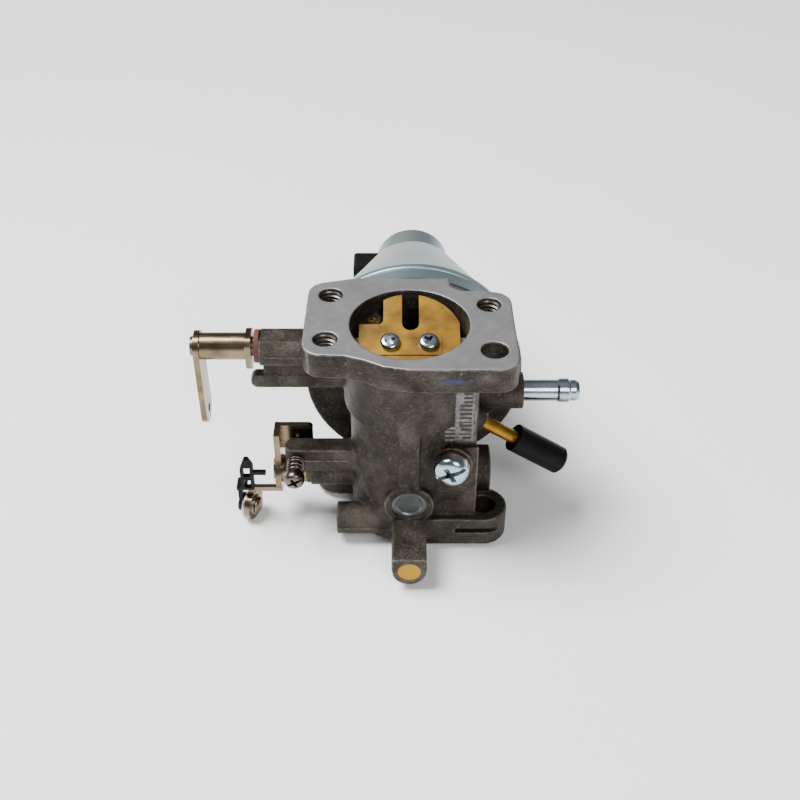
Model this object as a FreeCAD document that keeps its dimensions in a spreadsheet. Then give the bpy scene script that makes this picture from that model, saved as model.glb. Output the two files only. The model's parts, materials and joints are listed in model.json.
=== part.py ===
import FreeCAD, Part
import math
import os
import re
import Sketcher

# Single-barrel float carburetor, millimetres.
# +Z runs along the bore from the engine face (z = 0) to the air-cleaner face, +Y is the float-bowl
# side, +X the fuel inlet side and -X the lever side.  The origin is the bore axis at the engine face.

os.makedirs("parts", exist_ok=True)
doc = FreeCAD.newDocument("Carburetor")
Vector = FreeCAD.Vector

SIZES = {
    # barrel and flanges
    "body_height": 62,
    "flange_thick": 7,
    "mouth_radius": 15,
    "choke_bore_radius": 14.3,
    "venturi_radius": 9.5,
    "throttle_bore_radius": 12,
    "venturi_height": 31,
    "upper_barrel_radius": 17,
    "lower_barrel_radius": 15.5,
    "barrel_step_height": 39,
    "engine_flange_thick": 9.2,
    "engine_disc_radius": 15.7,
    "ear_x": 20.2,
    "ear_y": 10,
    "ear_radius": 6.4,
    "stud_hole_radius": 3.3,
    "tapped_hole_radius": 3,
    "clear_hole_radius": 3.3,
    # shafts
    "shaft_radius": 3,
    "choke_shaft_radius": 2.5,
    "shaft_gap": 0.04,
    "choke_height": 55,
    "choke_tilt": 19,
    "choke_plate_thick": 1,
    "choke_joggle": 0.3,
    "choke_edge_gap": 0.4,
    "choke_shift": 0.58,
    "choke_half_width": 12.9,
    "throttle_height": 13.3,
    "throttle_tilt": -8,
    "throttle_plate_thick": 1,
    "plate_screw_offset": 4.9,
    "plate_screw_radius": 1.45,
    # choke linkage, stations along -X
    "choke_boss_end": 38,
    "choke_seal_end": 39.2,
    "choke_stop_start": 39.9,
    "choke_stop_end": 41.4,
    "choke_arm_start": 53,
    "choke_arm_thick": 1.5,
    "choke_arm_drop": 23.6,
    "choke_arm_half_width": 4.2,
    "choke_cable_hole_radius": 1.3,
    "spacer_radius": 3.5,
    # throttle linkage
    "throttle_boss_radius": 4.6,
    "throttle_boss_end": 27,
    "throttle_seal_end": 28,
    "lever_start": 34.8,
    "lever_thick": 1.6,
    "tab_front": 1.5,
    "tab_thick": 1.6,
    "tab_top": 27.3,
    "tab_foot": 19.4,
    "arm_height": 9.6,
    "eye_x": -43.6,
    "eye_y": -3.4,
    "eye_height": 2.8,
    "eye_radius": 4.3,
    "bush_radius": 2.9,
    "bush_bore_radius": 2,
    # idle speed and mixture screws
    "idle_x": -30.3,
    "idle_height": 21.1,
    "idle_screw_radius": 1.5,
    "idle_head_radius": 2.7,
    "idle_spring_radius": 2.4,
    "lug_front": 6,
    "lug_back": 0.5,
    "lug_radius": 3.65,
    "column_height": 5,
    "column_radius": 4.5,
    "column_end": 31.5,
    "column_bore_radius": 3,
    "welch_height": 14.8,
    "welch_front": 17,
    "welch_ring_radius": 6.6,
    "welch_plug_radius": 4.6,
    # label block and passage screw
    "block_front": 14,
    "label_front": 12.5,
    "block_left": 3.2,
    "block_right": 17.8,
    "block_split": 32.8,
    "passage_x": 11.2,
    "passage_height": 28.2,
    "passage_head_radius": 4.6,
    # fuel inlet and vent
    "inlet_y": 9,
    "inlet_height": 33.6,
    "inlet_boss_radius": 5,
    "inlet_boss_end": 31,
    "inlet_tube_radius": 2.9,
    "inlet_collar_radius": 3.3,
    "inlet_tip": 46.2,
    "vent_radius": 1.85,
    "cap_radius": 3.85,
    "cap_length": 16,
    # float bowl
    "bowl_x": 1.4,
    "bowl_height": 31,
    "deck_start": 17.2,
    "deck_end": 21,
    "deck_radius": 30,
    "gasket_thick": 0.8,
    "bowl_radius": 29.8,
    "bowl_rim_radius": 30.5,
    "bowl_wall": 1.2,
    "bowl_shoulder": 30,
    "bowl_floor": 70,
    "bowl_floor_radius": 13,
    "post_radius": 7,
    "neck_radius": 4.5,
    "solenoid_radius": 11.2,
    "solenoid_end": 81.3,
    "nozzle_radius": 2.4,
    # float
    "pin_x": 25,
    "pin_y": 25.6,
    "pin_radius": 1,
    "needle_x": 20.2,
    "needle_radius": 1.6,
    "seat_radius": 3.4,
}

sheet = doc.addObject("Spreadsheet::Sheet", "dims")
for row, (alias, number) in enumerate(SIZES.items(), start=1):
    sheet.set("A%d" % row, alias)
    sheet.set("B%d" % row, str(number))
    sheet.setAlias("B%d" % row, alias)
doc.recompute()

AXES = {
    "x": Vector(1, 0, 0), "-x": Vector(-1, 0, 0), "y": Vector(0, 1, 0),
    "-y": Vector(0, -1, 0), "z": Vector(0, 0, 1), "-z": Vector(0, 0, -1),
}
# a flat outline is drawn in (u, v) and grows along the plane's third direction
PLANES = {
    "xy": FreeCAD.Rotation(),
    "yz": FreeCAD.Rotation(Vector(1, 1, 1), 120),
    "xz": FreeCAD.Rotation(Vector(1, 0, 0), 90),
}
NORMALS = {"xy": Vector(0, 0, 1), "yz": Vector(1, 0, 0), "xz": Vector(0, -1, 0)}
nodes = {}


def link(expression):
    """Turn the sheet's names inside an expression into references to its cells."""
    return re.sub(r"[a-z][a-z_]*", lambda m: "dims." + m.group() if m.group() in SIZES else m.group(),
                  str(expression))


def value(expression):
    return float(sheet.evalExpression(link(expression)))


def bind(obj, **properties):
    for name, expression in properties.items():
        obj.setExpression(name, link(expression))
    return obj


def direction(axis):
    return AXES[axis] if isinstance(axis, str) else Vector(*axis)


def place(obj, at, rotation):
    obj.Placement = FreeCAD.Placement(Vector(*[value(part) for part in at]), rotation)
    for letter, expression in zip("xyz", at):
        obj.setExpression("Placement.Base." + letter, link(expression))
    return obj


def toward(axis, start=Vector(0, 0, 1)):
    return FreeCAD.Rotation(start, direction(axis))


def cylinder(radius, length, at, axis="z"):
    piece = bind(doc.addObject("Part::Cylinder", "Cylinder"), Radius=radius, Height=length)
    return place(piece, at, toward(axis))


def block(low, high):
    """A box between two corners, each given as three expressions."""
    piece = doc.addObject("Part::Box", "Box")
    spans = ["(%s)-(%s)" % (b, a) for a, b in zip(low, high)]
    bind(piece, Length=spans[0], Width=spans[1], Height=spans[2])
    return place(piece, low, FreeCAD.Rotation())


def draw(sketch, points):
    """Draw a closed outline whose corners are tied to the sheet."""
    corners = [Vector(value(u), value(v), 0) for u, v in points]
    count = len(corners)
    sketch.addGeometry([Part.LineSegment(corners[i], corners[(i + 1) % count]) for i in range(count)])
    sketch.addConstraint([Sketcher.Constraint("Coincident", i, 2, (i + 1) % count, 1)
                          for i in range(count)])
    for i, (u, v) in enumerate(points):
        for kind, number, expression in (("DistanceX", corners[i].x, u), ("DistanceY", corners[i].y, v)):
            index = sketch.addConstraint(Sketcher.Constraint(kind, -1, 1, i, 1, number))
            sketch.setExpression("Constraints[%d]" % index, link(expression))


def body_sketch(points):
    body = doc.addObject("PartDesign::Body", "Body")
    sketch = body.newObject("Sketcher::SketchObject", "Outline")
    plane = [item for item in body.Origin.OriginFeatures if item.Role == "XY_Plane"][0]
    sketch.AttachmentSupport = [(plane, "")]
    sketch.MapMode = "FlatFace"
    draw(sketch, points)
    return body, sketch


def plate(points, plane, start, thick, round_radius=0, corners=None):
    """A flat piece: an outline in a plane, padded from start along the plane's third direction."""
    body, sketch = body_sketch(points)
    pad = body.newObject("PartDesign::Pad", "Pad")
    pad.Profile = (sketch, [""])
    bind(pad, Length=thick)
    doc.recompute()
    if round_radius:
        fillet = body.newObject("PartDesign::Fillet", "Corners")
        fillet.Base = (pad, upright_edges(pad.Shape, points, corners))
        fillet.Radius = round_radius
    normal = NORMALS[plane]
    at = ["(%s)*(%g)" % (start, part) for part in normal]
    return place(body, at, PLANES[plane])


def upright_edges(shape, points, corners):
    """Names of the edges that stand on the chosen corners of an outline."""
    chosen = [points[i] for i in (corners if corners is not None else range(len(points)))]
    spots = [Vector(value(u), value(v), 0) for u, v in chosen]
    names = []
    for index, edge in enumerate(shape.Edges, start=1):
        ends = [vertex.Point for vertex in edge.Vertexes]
        upright = len(ends) == 2 and abs(ends[0].z - ends[1].z) > 1e-6
        flat = Vector(ends[0].x, ends[0].y, 0)
        if upright and any(flat.distanceToPoint(spot) < 1e-4 for spot in spots):
            names.append("Edge%d" % index)
    return names


def turned(points, at, axis):
    """A turned piece: an outline of (radius, distance along the axis) swept round the axis."""
    body, sketch = body_sketch(points)
    spin = body.newObject("PartDesign::Revolution", "Revolution")
    spin.Profile = (sketch, [""])
    spin.ReferenceAxis = (sketch, ["V_Axis"])
    spin.Angle = 360
    return place(body, at, toward(axis, Vector(0, 1, 0)))


def rod(steps, at, axis):
    """A turned solid rod from steps of (radius, start, end)."""
    outline = [("0", steps[0][1])]
    for radius, start, end in steps:
        outline += [(radius, start), (radius, end)]
    outline.append(("0", steps[-1][2]))
    return turned(outline, at, axis)


def ring(inner, outer, length, at, axis):
    return turned([(inner, "0"), (outer, "0"), (outer, length), (inner, length)], at, axis)


def fuse(*pieces):
    if len(pieces) == 1:
        return pieces[0]
    joined = doc.addObject("Part::MultiFuse", "Fusion")
    joined.Shapes = list(pieces)
    return joined


def cut(base, *tools):
    result = doc.addObject("Part::Cut", "Cut")
    result.Base = base
    result.Tool = fuse(*tools)
    return result


def common(base, tool):
    result = doc.addObject("Part::Common", "Common")
    result.Base = base
    result.Tool = tool
    return result


def group(*pieces):
    """Separate equal solids kept as one sub-part."""
    result = doc.addObject("Part::Compound", "Group")
    result.Links = list(pieces)
    return result


def moved(obj, at, rotation):
    """Put a finished sub-part, modelled round the origin, in its place."""
    return place(obj, at, rotation)


def node(name, obj):
    obj.Label = name
    nodes[name] = obj


# ---------------------------------------------------------------- casting
def intake_flange():
    outline = [
        ("-26.6", "-13.2"), ("-16", "-13.7"), ("-11.2", "-15.4"), ("-6.4", "-18.1"), ("0.5", "-19.5"),
        ("26.5", "-19.5"), ("26.3", "14.2"), ("13.6", "15"), ("10.8", "17"), ("10.6", "deck_end"),
        ("-14.6", "deck_end"), ("-26.2", "18"),
    ]
    big = plate(outline, "xy", "body_height-flange_thick", "flange_thick", 5, [0, 5, 6, 11])
    return big


def engine_flange():
    pieces = [cylinder("engine_disc_radius", "engine_flange_thick", ("0", "0", "0"))]
    for side in (1, -1):
        x = "%d*ear_x" % side
        y = "%d*-ear_y" % side
        pieces.append(cylinder("ear_radius", "engine_flange_thick", (x, y, "0")))
        edges = sorted(("0", x), key=value)
        pieces.append(block((edges[0], "%s-ear_radius" % y, "0"),
                            (edges[1], "%s+ear_radius" % y, "engine_flange_thick")))
    return pieces


def barrel():
    deck_length = "deck_end-deck_start"
    return [
        cylinder("upper_barrel_radius", "body_height-flange_thick-barrel_step_height",
                 ("0", "0", "barrel_step_height")),
        cylinder("lower_barrel_radius", "barrel_step_height", ("0", "0", "0")),
        block(("-13", "0", "engine_flange_thick"), ("17", "deck_end", "body_height-flange_thick")),
        cylinder("deck_radius", deck_length, ("bowl_x", "deck_start", "bowl_height"), "y"),
        cylinder("post_radius", "bowl_floor-bowl_wall-deck_start",
                 ("bowl_x", "deck_start", "bowl_height"), "y"),
    ]


def shaft_bosses():
    low = "choke_height-3.9"
    high = "choke_height+3.4"
    choke_outline = [("-3.2", low), ("3.2", low), ("4.7", low + "+1.5"), ("4.7", high + "-1.7"),
                     ("3", high), ("-3", high), ("-4.7", high + "-1.7"), ("-4.7", low + "+1.5")]
    choke = plate(choke_outline, "yz", "-choke_boss_end", "choke_boss_end+21", 0.6)
    arm_outline = [("-41", "42.7"), ("-14", "42.7"), ("-14", "46.7"), ("-41", "46.7")]
    second_arm = plate(arm_outline, "xz", "-1.6", "3.2", 1.9, [0, 3])
    web = block(("-37.5", "-1.2", "44"), ("-13", "1.2", "53"))
    throttle_left = cylinder("throttle_boss_radius", "throttle_boss_end",
                             ("-throttle_boss_end", "0", "throttle_height"), "x")
    throttle_right = cylinder("6.5", "22.2", ("0", "0", "throttle_height"), "x")
    return [choke, second_arm, web, throttle_left, throttle_right]


def front_details():
    label_top = "body_height-flange_thick"
    return [
        plate([("-33.4", "-lug_front"), ("-12", "-lug_front"), ("-12", "-lug_back"), ("-33.4", "-lug_back")],
              "xy", "idle_height-lug_radius", "2*lug_radius", 2.4, [0, 3]),
        block(("-2.7", "-welch_front", "welch_height"), ("2.7", "0", "barrel_step_height")),
        block(("-2.6", "-welch_front-0.35", "31"), ("2.4", "0", "31.6")),
        block(("block_left", "-label_front", "block_split"), ("block_right", "0", label_top)),
        block(("block_left", "-block_front", "engine_flange_thick"), ("block_right", "0", "block_split")),
        cylinder("passage_head_radius+0.6", "8", passage_point("-8"), PASSAGE_AXIS),
        cylinder("welch_ring_radius", "9", ("0", "-welch_front+9", "welch_height"), "-y"),
        cylinder("column_radius", "column_end-9", ("0", "-9", "column_height"), "-y"),
        block(("-column_radius", "-column_end", "column_height"),
              ("column_radius", "-9", "column_height+column_radius")),
        cylinder("4.4", "19.6", ("-19.6", "-10.6", "4.6"), "x"),
    ]


def inlet_details():
    return [
        cylinder("inlet_boss_radius", "inlet_boss_end", ("0", "inlet_y", "inlet_height"), "x"),
        cylinder("3.4", "11", vent_point("-13.4"), VENT_AXIS),
        cylinder("5", "12", ("needle_x", "deck_start-12", "inlet_height"), "y"),
        fuse(*[block(("pin_x-2.2", "deck_start+2", middle), ("pin_x+2.2", "pin_y+2", "%s+2" % middle))
               for middle in ("inlet_height-5.4", "inlet_height+3.4")]),
    ]


VENT_AXIS = (1, 0, -0.65)
PASSAGE_AXIS = (-0.1736, -0.9848, 0)


def passage_point(distance):
    """A place on the passage screw's axis, measured from the washer's seat."""
    return ("passage_x-0.1736*(%s)" % distance, "-block_front-1-0.9848*(%s)" % distance, "passage_height")


def vent_point(distance):
    """A place on the vent tube's axis, measured from its boss face."""
    return ("21.5+0.838*(%s)" % distance, "0", "29-0.545*(%s)" % distance)


def bore():
    """The whole air passage as one turned core: mouth, choke zone, venturi and throttle bore."""
    return turned([
        ("0", "-1"), ("throttle_bore_radius", "-1"), ("throttle_bore_radius", "venturi_height-9"),
        ("venturi_radius", "venturi_height-3"), ("venturi_radius", "venturi_height+3"),
        ("choke_bore_radius", "48"), ("choke_bore_radius", "body_height-5"),
        ("mouth_radius", "body_height"), ("mouth_radius", "body_height+1"), ("0", "body_height+1")],
        ("0", "0", "0"), "z")


def fastener_cuts():
    top = "body_height-flange_thick-1"
    deep = "flange_thick+2"
    cuts = []
    for x, y in (("-20.3", "12.8"), ("-20.8", "-6.7"), ("20.4", "8.4")):
        cuts.append(cylinder("tapped_hole_radius", deep, (x, y, top)))
    cuts.append(cylinder("clear_hole_radius", deep, ("20.6", "-11.3", top)))
    for side in (1, -1):
        cuts.append(cylinder("stud_hole_radius", "engine_flange_thick+2",
                             ("%d*ear_x" % side, "%d*-ear_y" % side, "-1")))
    bolt_way = "body_height-flange_thick-engine_flange_thick"
    cuts.append(cylinder("stud_hole_radius+0.4", bolt_way,
                         ("ear_x+0.2", "-ear_y-0.6", "engine_flange_thick")))
    cuts.append(block(("12.5", "-18", "4.2"), ("24.6", "-14.4", "5.8")))
    return cuts


def passage_cuts():
    return [
        cylinder("choke_shaft_radius+shaft_gap", "choke_boss_end+19",
                 ("-choke_boss_end-1", "0", "choke_height"), "x"),
        cylinder("shaft_radius+shaft_gap", "throttle_boss_end+21.5",
                 ("-throttle_boss_end-1", "0", "throttle_height"), "x"),
        cylinder("shaft_radius+0.6", "3", ("20.2", "0", "throttle_height"), "x"),
        cylinder("idle_screw_radius+0.05", "8", ("idle_x", "0.5", "idle_height"), "-y"),
        cylinder("welch_plug_radius", "1.4", ("0", "-welch_front+1.4", "welch_height"), "-y"),
        cylinder("column_bore_radius", "column_end-15", ("0", "-16", "column_height"), "-y"),
        cylinder("1.55", "8", ("0", "-11.5", "column_height"), "-y"),
        cylinder("3", "12", passage_point("-9"), PASSAGE_AXIS),
        cylinder("2.4", "9", ("inlet_boss_end-8", "inlet_y", "inlet_height"), "x"),
        cylinder("1.2", "14", ("needle_x-1", "inlet_y", "inlet_height"), "x"),
        cylinder("seat_radius", "12", ("needle_x", "inlet_y+3.5", "inlet_height"), "y"),
        cylinder("1.2", "6", ("needle_x", "inlet_y", "inlet_height"), "y"),
        cylinder("vent_radius", "9", vent_point("-7"), VENT_AXIS),
        cylinder("nozzle_radius", "52.4", ("bowl_x", "8", "bowl_height"), "y"),
        cylinder("neck_radius", "12", ("bowl_x", "bowl_floor-bowl_wall-9", "bowl_height"), "y"),
        cylinder("1.3", "20", ("bowl_x-10", "64", "bowl_height"), "x"),
        cylinder("pin_radius+0.02", "14", ("pin_x", "pin_y", "inlet_height-7"), "z"),
        cylinder("1.5", "10", ("-8", "14", "bowl_height"), "y"),
        cylinder("1.1", "5", ("-9.8", "8.6", "body_height-8.5")),
    ]


def carburetor_body():
    nub = cylinder("3.6", "3", ("-10.6", "9.4", "body_height-8"))
    core = cut(bore(), nub)
    solid = fuse(intake_flange(), *engine_flange(), *barrel(), *shaft_bosses(), *front_details(),
                 *inlet_details())
    solid = cut(cut(solid, core), *fastener_cuts())
    for passage in passage_cuts():
        solid = cut(solid, passage)
    return solid


# ---------------------------------------------------------------- choke
CHOKE_AT = ("0", "0", "choke_height")
THROTTLE_AT = ("0", "0", "throttle_height")


def tilt(alias):
    return FreeCAD.Rotation(Vector(1, 0, 0), value(alias))


def closed_bore(radius, alias, shift="0"):
    """A core that stands upright once the plate cut from it is tilted to its closed angle."""
    angle = math.radians(value(alias))
    start = ("0", "%s-12*sin(%s)" % (shift, alias), "-12*cos(%s)" % alias)
    return cylinder(radius, "24", start, (0, math.sin(angle), math.cos(angle)))


def butterfly_screws(head_radius, under_head):
    """Two pan-head screws through plate and shaft, modelled on an upright axis."""
    screws = []
    for side in (1, -1):
        screw = rod([("plate_screw_radius", "-2.4", under_head),
                     (str(head_radius), under_head, "%s+1.5" % under_head)],
                    ("%d*plate_screw_offset" % side, "0", "0"), "z")
        screws.append(screw)
    return group(*screws)


def screw_holes(length_from="-5", length="10"):
    return [cylinder("plate_screw_radius", length, ("%d*plate_screw_offset" % side, "0", length_from))
            for side in (1, -1)]


def flatted_shaft(radius, start, end, flat_half):
    """A round shaft with its upper half milled away where the plate sits."""
    shaft = cylinder(radius, "(%s)-(%s)" % (end, start), (start, "0", "0"), "x")
    flat = block(("-(%s)" % flat_half, "-4", "0"), (flat_half, "4", "4"))
    return cut(shaft, flat, *screw_holes())


def choke_plate():
    """An ellipse that closes the tilted bore, with straight sides, a slot and a corner cut-out."""
    slab = block(("-choke_half_width", "-20", "0"), ("choke_half_width", "20", "choke_plate_thick"))
    rim = closed_bore("choke_bore_radius-choke_edge_gap", "choke_tilt", "choke_shift")
    slot = fuse(block(("-1.9", "6.4", "-1"), ("2.5", "16", "3")), cylinder("2.2", "4", ("0.3", "6.4", "-1")))
    corner = plate([("-14", "6"), ("-6.7", "6"), ("-6.7", "16"), ("-14", "16")], "xy", "-1", "4", 1.6, [1])
    raised = block(("-7.6", "-3.6", "0.5"), ("8.2", "3.4", "choke_plate_thick+choke_joggle"))
    return cut(fuse(common(slab, rim), raised), slot, corner, *screw_holes())


def choke_parts():
    turn = tilt("choke_tilt")
    shaft = flatted_shaft("choke_shaft_radius", "-choke_arm_start-choke_arm_thick-1", "17.6", "13.9")
    node("choke_shaft", moved(shaft, CHOKE_AT, turn))
    node("choke_plate", moved(choke_plate(), CHOKE_AT, turn))
    node("choke_plate_screws", moved(butterfly_screws(2.6, "choke_plate_thick+choke_joggle"), CHOKE_AT, turn))
    seal_length = "choke_seal_end-choke_boss_end"
    node("choke_shaft_seal", ring("choke_shaft_radius+shaft_gap", "4.3", seal_length,
                                  ("-choke_boss_end", "0", "choke_height"), "-x"))
    stop = plate([("-3.8", "choke_height-5.6"), ("3.8", "choke_height-5.6"), ("4.2", "choke_height+4"),
                  ("-4.2", "choke_height+4")],
                 "yz", "-choke_stop_end", "choke_stop_end-choke_stop_start", 2.5)
    hole = cylinder("choke_shaft_radius", "4", ("-choke_stop_end-1", "0", "choke_height"), "x")
    node("choke_stop_plate", cut(stop, hole))
    node("choke_spacer", ring("choke_shaft_radius", "spacer_radius", "choke_arm_start-choke_stop_end",
                              ("-choke_stop_end", "0", "choke_height"), "-x"))
    low = "choke_height-choke_arm_drop"
    arm = plate([("-choke_arm_half_width", low), ("choke_arm_half_width", low),
                 ("choke_arm_half_width", "choke_height+3.8"),
                 ("-choke_arm_half_width", "choke_height+3.8")],
                "yz", "-choke_arm_start-choke_arm_thick", "choke_arm_thick", 3.6)
    far = "-choke_arm_start-choke_arm_thick-1"
    node("choke_arm", cut(arm, cylinder("choke_shaft_radius", "4", (far, "0", "choke_height"), "x"),
                          cylinder("choke_cable_hole_radius", "4", (far, "0", "%s+3.6" % low), "x")))
    node("air_jet", ring("0.5", "1.1", "3.6", ("-9.8", "8.6", "body_height-8.3"), "z"))


# ---------------------------------------------------------------- throttle
def throttle_parts():
    turn = tilt("throttle_tilt")
    shaft = flatted_shaft("shaft_radius", "-lever_start-lever_thick-0.8", "19.8", "12.6")
    node("throttle_shaft", moved(shaft, THROTTLE_AT, turn))
    slab = block(("-14", "-14", "0"), ("14", "14", "throttle_plate_thick"))
    rim = closed_bore("throttle_bore_radius-0.3", "throttle_tilt")
    node("throttle_plate", moved(cut(common(slab, rim), *screw_holes()), THROTTLE_AT, turn))
    node("throttle_plate_screws",
         moved(butterfly_screws(2.5, "throttle_plate_thick"), THROTTLE_AT, turn))
    node("throttle_shaft_seal", ring("shaft_radius+shaft_gap", "4.1", "throttle_seal_end-throttle_boss_end",
                                     ("-throttle_boss_end", "0", "throttle_height"), "-x"))
    node("throttle_end_plug", rod([("shaft_radius+0.6", "0", "1.6")],
                                  ("20.9", "0", "throttle_height"), "x"))
    node("throttle_spacer", ring("shaft_radius", "3.9", "lever_start-throttle_seal_end-0.3",
                                 ("-lever_start", "0", "throttle_height"), "x"))
    node("throttle_lever", throttle_lever())
    node("linkage_bush", linkage_bush())


def throttle_lever():
    """One bent sheet: a disc on the shaft, a strip up to the stop tab and an arm out to the eye."""
    outer = "-lever_start-lever_thick"
    disc = cylinder("6", "lever_thick", (outer, "0", "throttle_height"), "x")
    strip = block((outer, "-3", "throttle_height"), ("-lever_start", "tab_front+tab_thick", "tab_top"))
    tab = plate([(outer, "tab_foot"), ("-26.1", "tab_foot"), ("-26.1", "tab_top"), (outer, "tab_top")],
                "xz", "-tab_front-tab_thick", "tab_thick", 1.2, [1, 2])
    drop = block((outer, "eye_y-0.6", "arm_height-1.4"), ("-lever_start", "3", "throttle_height"))
    arm = block(("eye_x-0.7", "eye_y-0.6", "arm_height-1.4"), ("-lever_start", "eye_y+0.8", "arm_height"))
    neck = block(("eye_x-0.4", "eye_y-0.6", "eye_height+eye_radius-0.6"),
                 ("eye_x+0.7", "eye_y+0.8", "arm_height"))
    eye = cylinder("eye_radius", "1.6", eye_point("-0.8"), EYE_AXIS)
    return cut(fuse(disc, strip, tab, drop, arm, neck, eye),
               cylinder("shaft_radius", "4", ("-lever_start-lever_thick-1", "0", "throttle_height"), "x"),
               cylinder("bush_radius", "8", eye_point("-4"), EYE_AXIS))


EYE_AXIS = (0.94, -0.342, 0)


def eye_point(distance):
    """A place on the axis of the governor eye, measured from the middle of its sheet."""
    return ("eye_x+0.94*(%s)" % distance, "eye_y-0.342*(%s)" % distance, "eye_height")


def linkage_bush():
    """A flanged bush riveted through the eye."""
    return turned([("bush_bore_radius", "-1.8"), ("eye_radius-0.6", "-1.8"), ("eye_radius", "-1.3"),
                   ("eye_radius", "-0.8"), ("bush_radius", "-0.8"), ("bush_radius", "1.4"),
                   ("bush_bore_radius", "1.4")], eye_point("0"), EYE_AXIS)


def linkage_clip():
    """A snap clip that turns in the bush: a pin, a leg beside the bush and a windowed frame with a peg."""
    left = "eye_x-2.3"
    right = "eye_x+1.3"
    foot = "arm_height+0.8"
    front = "-(eye_y-1)"
    frame = plate([(left, foot), (right, foot), (right, foot + "+8.6"), ("eye_x+0.1", foot + "+11"),
                   ("eye_x-1", foot + "+11"), (left, foot + "+7.6")], "xz", front, "1.6", 0.5)
    windows = [block((left + "+0.9", "eye_y-4", "%s+%s" % (foot, low)),
                     (right + "-0.9", "eye_y", "%s+%s" % (foot, high)))
               for low, high in (("0.8", "3.6"), ("4.8", "8"))]
    pin = cylinder("bush_bore_radius-0.06", "5", eye_point("-3.4"), EYE_AXIS)
    leg = cylinder("2.7", "1.2", eye_point("-3.4"), EYE_AXIS)
    post = block(("eye_x-3.7", "eye_y-0.9", "eye_height+1"), ("eye_x-2.6", "eye_y+1.6", foot + "+1"))
    brace = block(("eye_x-3.7", "eye_y-2.6", foot), (left + "+1.4", "eye_y+1", foot + "+1"))
    peg = block((right + "-0.4", "eye_y-2.4", foot + "+5.4"), (right + "+3.4", "eye_y-1.2", foot + "+6.5"))
    return fuse(cut(frame, *windows), pin, leg, post, brace, peg)


# ---------------------------------------------------------------- screws and plugs
def screw_parts():
    at = ("idle_x", "tab_front-0.1", "idle_height")
    head_start = "tab_front+11.9"
    shank = "idle_screw_radius"
    node("idle_speed_screw", rod([("1", "0", "1.2"), (shank, "1.2", head_start),
                                  ("idle_head_radius", head_start, "%s+2.8" % head_start)], at, "-y"))
    node("idle_speed_spring", ring("idle_screw_radius+0.15", "idle_spring_radius", "5.6",
                                   ("idle_x", "-lug_front-0.1", "idle_height"), "-y"))
    column_at = ("0", "0", "column_height")
    node("mixture_plug", rod([("column_bore_radius", "column_end-1.8", "column_end-0.2")],
                             column_at, "-y"))
    needle = [("0", "11.6"), ("1.5", "15.4"), ("1.5", "24.6"), ("2.7", "24.6"), ("2.7", "28.6"),
              ("0", "28.6")]
    node("idle_mixture_screw", turned(needle, column_at, "-y"))
    node("idle_mixture_spring", ring("1.7", "2.6", "8", ("0", "-16.3", "column_height"), "-y"))
    node("welch_plug", turned([("0", "0"), ("welch_plug_radius", "0"), ("welch_plug_radius", "0.9"),
                               ("3.6", "0.9"), ("3.2", "0.5"), ("0", "0.5")],
                              ("0", "-welch_front+1.4", "welch_height"), "-y"))
    node("copper_washer", ring("3", "passage_head_radius", "1", passage_point("0"), PASSAGE_AXIS))
    node("passage_screw", rod([("3", "-6", "1"), ("passage_head_radius", "1", "4.6")],
                              passage_point("0"), PASSAGE_AXIS))


# ---------------------------------------------------------------- fuel side
def fuel_parts():
    tube_start = "inlet_boss_end-7"
    long = "inlet_tip-inlet_boss_end+7"
    tip = "inlet_tube_radius-0.5"
    node("fuel_inlet_tube", turned([
        ("1.6", "0"), ("2.4", "0"), ("2.4", "7.1"), ("inlet_tube_radius", "7.1"),
        ("inlet_tube_radius", long + "-6"), ("inlet_collar_radius", long + "-5.4"),
        ("inlet_collar_radius", long + "-3"), ("inlet_tube_radius", long + "-2.4"),
        ("inlet_tube_radius", long + "-1"), (tip, long), ("1.6", long)],
        (tube_start, "inlet_y", "inlet_height"), "x"))
    node("vent_tube", ring("1.1", "vent_radius", "21", vent_point("-6.8"), VENT_AXIS))
    node("vent_cap", turned([("vent_radius+0.05", "0"), ("cap_radius", "0"), ("cap_radius", "cap_length-0.8"),
                             ("cap_radius-0.8", "cap_length"), ("0", "cap_length"), ("0", "13.6"),
                             ("vent_radius+0.05", "13.6")], vent_point("8.4"), VENT_AXIS))


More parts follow.
